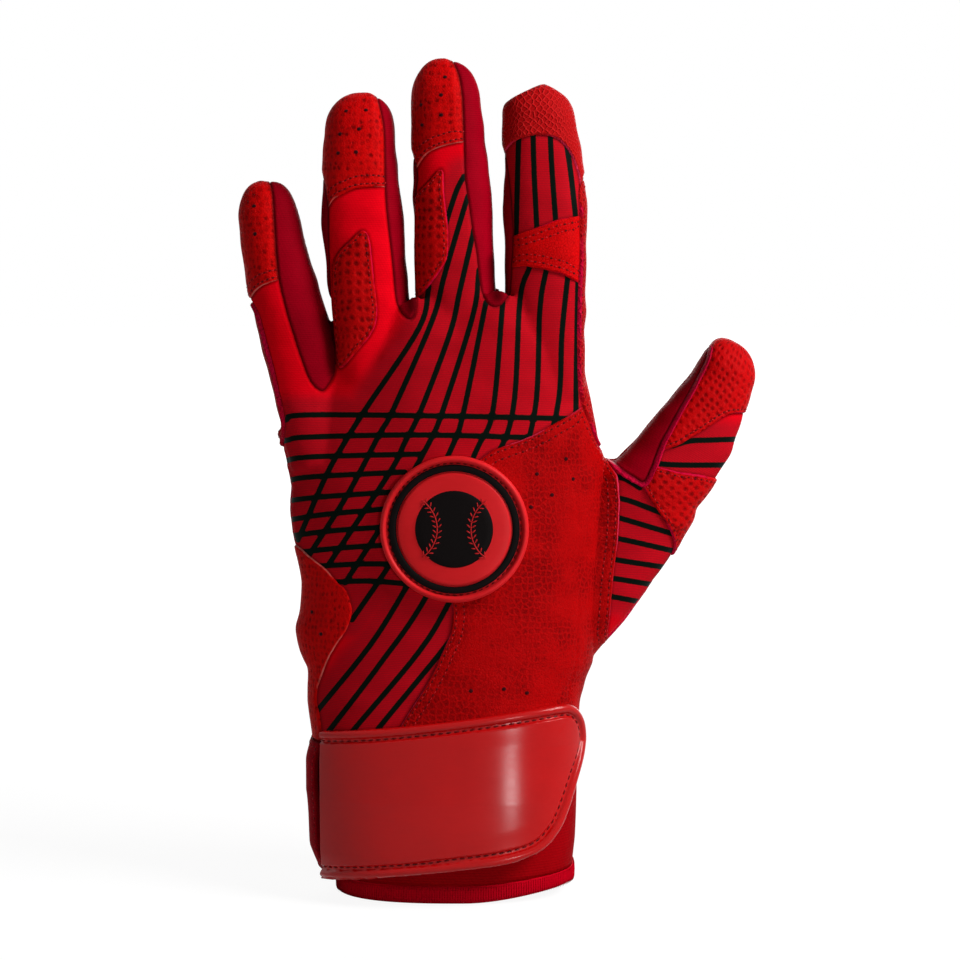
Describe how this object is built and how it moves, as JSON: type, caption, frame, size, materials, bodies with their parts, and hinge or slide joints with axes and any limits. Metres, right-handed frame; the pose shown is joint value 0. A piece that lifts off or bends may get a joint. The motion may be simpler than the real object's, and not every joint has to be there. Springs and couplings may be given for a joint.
{
  "type": "batting glove",
  "caption": "Left-hand batting glove with leather palm and fingertips, stretch back with flex lines, round rubber badge and hook-and-loop wrist strap.",
  "frame": {"origin": "middle of the wrist opening, on the plane of the hem's foot", "axes": "+Z from the hem to the fingertips, +X to the thumb side, +Y to the palm, so the back of the hand looks along -Y"},
  "size_m": [0.1459, 0.0489, 0.2357],
  "materials": {
    "leather": "pebbled red leather, satin",
    "stretch": "matt red stretch knit with dark printed lines",
    "gusset": "matt deep red ribbed stretch",
    "rubber": "smooth glossy red",
    "dark_rubber": "satin black",
    "binding": "matt ribbed crimson",
    "hook_tape": "matt dark red hook-and-loop tape"
  },
  "bodies": {
    "hand": {"palm_leather": "leather", "palm_patch": "leather", "back_panel": "stretch", "thumb_side_panel": "leather", "web_gusset": "stretch", "thumb_band_lower": "leather", "ulnar_patch": "leather", "badge_base": "rubber", "badge_ring": "dark_rubber", "badge_face": "rubber", "cuff": "stretch", "hem_binding": "binding", "strap_anchor": "binding", "loop_pad": "hook_tape"},
    "strap": {"strap": "rubber", "hook_pad": "hook_tape"},
    "pinky_base": {"pinky_front_lower": "leather", "pinky_radial_gusset_lower": "gusset", "pinky_back_lower": "stretch"},
    "pinky_tip": {"pinky_front_upper": "leather", "pinky_radial_gusset_upper": "gusset", "pinky_cap": "leather"},
    "ring_base": {"ring_front_lower": "leather", "ring_ulnar_gusset_lower": "gusset", "ring_radial_gusset_lower": "gusset", "ring_back_lower": "stretch", "ring_patch": "leather"},
    "ring_tip": {"ring_front_upper": "leather", "ring_ulnar_gusset_upper": "gusset", "ring_radial_gusset_upper": "gusset", "ring_back_upper": "stretch", "ring_cap": "leather"},
    "middle_base": {"middle_front_lower": "leather", "middle_ulnar_gusset_lower": "gusset", "middle_radial_gusset_lower": "gusset", "middle_back_lower": "stretch", "middle_patch": "leather"},
    "middle_tip": {"middle_front_upper": "leather", "middle_ulnar_gusset_upper": "gusset", "middle_radial_gusset_upper": "gusset", "middle_back_upper": "stretch", "middle_cap": "leather"},
    "index_base": {"index_front_lower": "leather", "index_ulnar_gusset_lower": "gusset", "index_back_lower": "stretch", "index_band": "leather"},
    "index_tip": {"index_front_upper": "leather", "index_ulnar_gusset_upper": "gusset", "index_back_upper": "stretch", "index_cap": "leather"},
    "thumb_base": {"thumb_front_lower": "leather", "thumb_ulnar_gusset_lower": "gusset", "thumb_band_upper": "leather", "thumb_knuckle_lower": "stretch"},
    "thumb_tip": {"thumb_front_upper": "leather", "thumb_ulnar_gusset_upper": "gusset", "thumb_knuckle_upper": "stretch", "thumb_cap": "leather"}
  },
  "joints": [
    {"name": "strap_open", "type": "hinge", "parent": "hand", "child": "strap", "pos_m": [-0.0405, -0.0157, 0.026], "axis": [0, 0, -1], "range_deg": [0, 120]},
    {"name": "pinky_base_flex", "type": "hinge", "parent": "hand", "child": "pinky_base", "pos_m": [-0.0439, 0.0074, 0.1512], "axis": [-0.9796, 0, -0.2011], "range_deg": [0, 80]},
    {"name": "pinky_tip_flex", "type": "hinge", "parent": "pinky_base", "child": "pinky_tip", "pos_m": [-0.04772, 0.0079, 0.16981], "axis": [-0.9796, 0, -0.2011], "range_deg": [0, 90]},
    {"name": "ring_base_flex", "type": "hinge", "parent": "hand", "child": "ring_base", "pos_m": [-0.0236, 0.0075, 0.1666], "axis": [-0.9984, 0, -0.0558], "range_deg": [0, 80]},
    {"name": "ring_tip_flex", "type": "hinge", "parent": "ring_base", "child": "ring_tip", "pos_m": [-0.02496, 0.0081, 0.19096], "axis": [-0.9984, 0, -0.0558], "range_deg": [0, 90]},
    {"name": "middle_base_flex", "type": "hinge", "parent": "hand", "child": "middle_base", "pos_m": [0.0001, 0.0075, 0.1708], "axis": [-0.9987, 0, -0.0506], "range_deg": [0, 80]},
    {"name": "middle_tip_flex", "type": "hinge", "parent": "middle_base", "child": "middle_tip", "pos_m": [-0.00127, 0.00829, 0.19777], "axis": [-0.9987, 0, -0.0506], "range_deg": [0, 90]},
    {"name": "index_base_flex", "type": "hinge", "parent": "hand", "child": "index_base", "pos_m": [0.0243, 0.0077, 0.1708], "axis": [-0.9999, 0, -0.0157], "range_deg": [0, 80]},
    {"name": "index_tip_flex", "type": "hinge", "parent": "index_base", "child": "index_tip", "pos_m": [0.02392, 0.00835, 0.1948], "axis": [-0.9999, 0, -0.0157], "range_deg": [0, 90]},
    {"name": "thumb_base_flex", "type": "hinge", "parent": "hand", "child": "thumb_base", "pos_m": [0.0567, 0.0159, 0.1156], "axis": [-0.8634, 0, 0.5045], "range_deg": [0, 50]},
    {"name": "thumb_tip_flex", "type": "hinge", "parent": "thumb_base", "child": "thumb_tip", "pos_m": [0.06427, 0.01532, 0.12855], "axis": [-0.8634, 0, 0.5045], "range_deg": [0, 75]}
  ]
}
